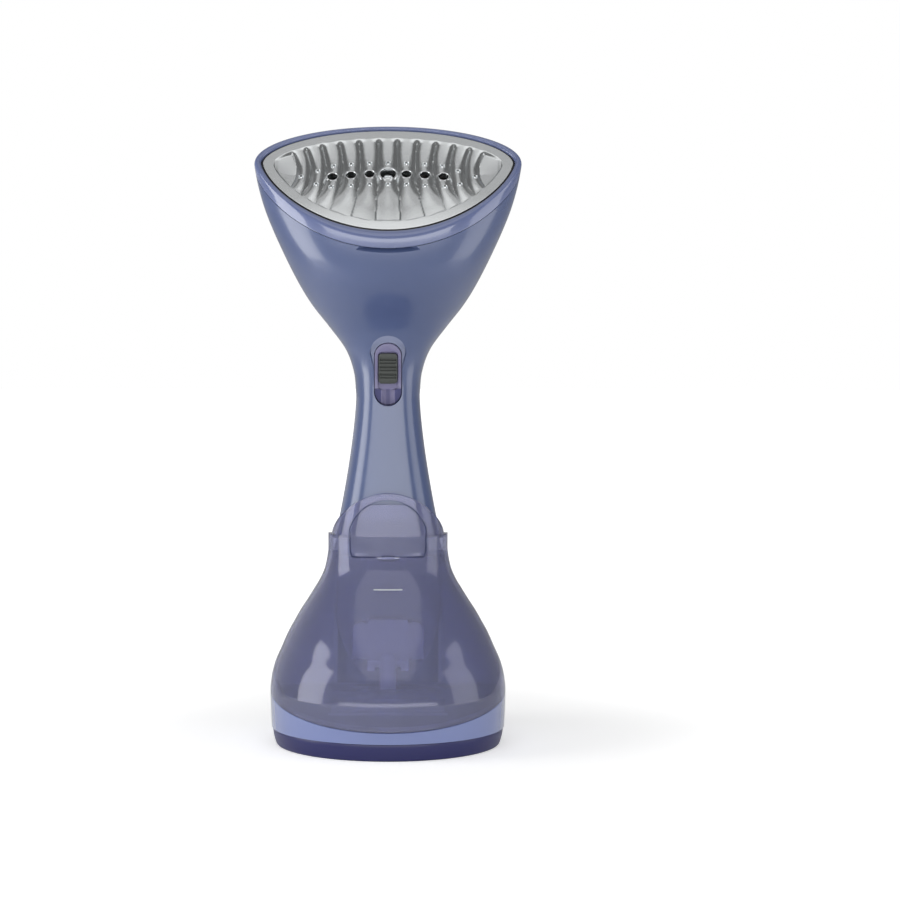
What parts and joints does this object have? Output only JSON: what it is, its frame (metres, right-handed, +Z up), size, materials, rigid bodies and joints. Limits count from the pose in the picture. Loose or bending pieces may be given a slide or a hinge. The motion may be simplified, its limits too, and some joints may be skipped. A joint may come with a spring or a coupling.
{
  "type": "garment steamer",
  "caption": "Handheld garment steamer with a fluted lens-shaped soleplate, a slim handle with a capsule trigger, a clear bell-shaped lift-off tank and a round foot.",
  "frame": {"origin": "middle of the foot's underside, on the floor", "axes": "+Z up, -Y the front with the soleplate, the trigger and the tank, +X along the width of the head; the object is symmetric across X"},
  "size_m": [0.1426, 0.1254, 0.333],
  "materials": {
    "housing": "satin",
    "rim": "gloss",
    "foot": "matt",
    "band": "satin",
    "soleplate": "polished",
    "seal": "matt",
    "cast": "cast",
    "element": "drawn",
    "tray": "matt",
    "steel": "plated",
    "ceramic": "matt",
    "brass": "turned",
    "mauve": "satin",
    "grey": "matt",
    "frame": "matt",
    "black": "matt",
    "red": "gloss",
    "winding": "varnished",
    "pump": "matt",
    "hose": "translucent",
    "board": "lacquered",
    "tank": "clear",
    "valve": "satin"
  },
  "bodies": {
    "housing": {"front_shell": "housing", "rear_shell": "housing", "head_bezel": "rim", "plate_seal": "seal", "soleplate": "soleplate", "chamber_gasket": "red", "steam_chamber": "cast", "heating_element": "element", "insulating_tray": "tray", "tray_screws": "steel", "thermostat": "ceramic", "thermal_fuse": "steel", "steam_inlet": "brass", "chassis": "frame", "micro_switch": "black", "pump_coil": "winding", "pump_body": "pump", "inlet_hose": "hose", "outlet_hose": "hose", "hose_clips": "steel", "control_board": "board", "dock_seal": "seal", "base_shell": "band", "base_foot": "foot", "foot_pads": "seal", "base_screws": "steel", "shell_screws": "steel", "cord_gland": "black"},
    "tank": {"tank_shell": "tank", "tank_back": "tank", "valve_housing": "valve", "flap_pin": "steel"},
    "flap": {"filler_flap": "tank"},
    "poppet": {"valve_poppet": "black", "valve_spring": "steel"},
    "trigger": {"trigger": "mauve", "trigger_spring": "steel"},
    "lock": {"lock_slider": "grey"},
    "plunger": {"switch_plunger": "red"}
  },
  "joints": [
    {"name": "trigger_press", "type": "slide", "parent": "housing", "child": "trigger", "axis": [0, 0.9903, 0.1392], "range_m": [0, 0.003], "stiffness_N_per_m": 1200, "springref_m": -0.001, "deforming": ["trigger_spring"]},
    {"name": "lock_slide", "type": "slide", "parent": "trigger", "child": "lock", "axis": [0, 0.1392, -0.9903], "range_m": [0, 0.006]},
    {"name": "plunger_slide", "type": "slide", "parent": "housing", "child": "plunger", "axis": [0, 0.9903, 0.1392], "range_m": [0, 0.003]},
    {"name": "tank_lift", "type": "slide", "parent": "housing", "child": "tank", "axis": [0, -0.7071, 0.7071], "range_m": [0, 0.095]},
    {"name": "flap_hinge", "type": "hinge", "parent": "tank", "child": "flap", "pos_m": [0, -0.0111, 0.101], "axis": [1, 0, 0], "range_deg": [0, 70]},
    {"name": "valve_lift", "type": "slide", "parent": "tank", "child": "poppet", "axis": [0, 0, 1], "range_m": [0, 0.002], "stiffness_N_per_m": 250, "springref_m": -0.001, "deforming": ["valve_spring"]}
  ],
  "couplings": [
    {"joint": "plunger_slide", "follows": "trigger_press", "ratio": 1}
  ]
}
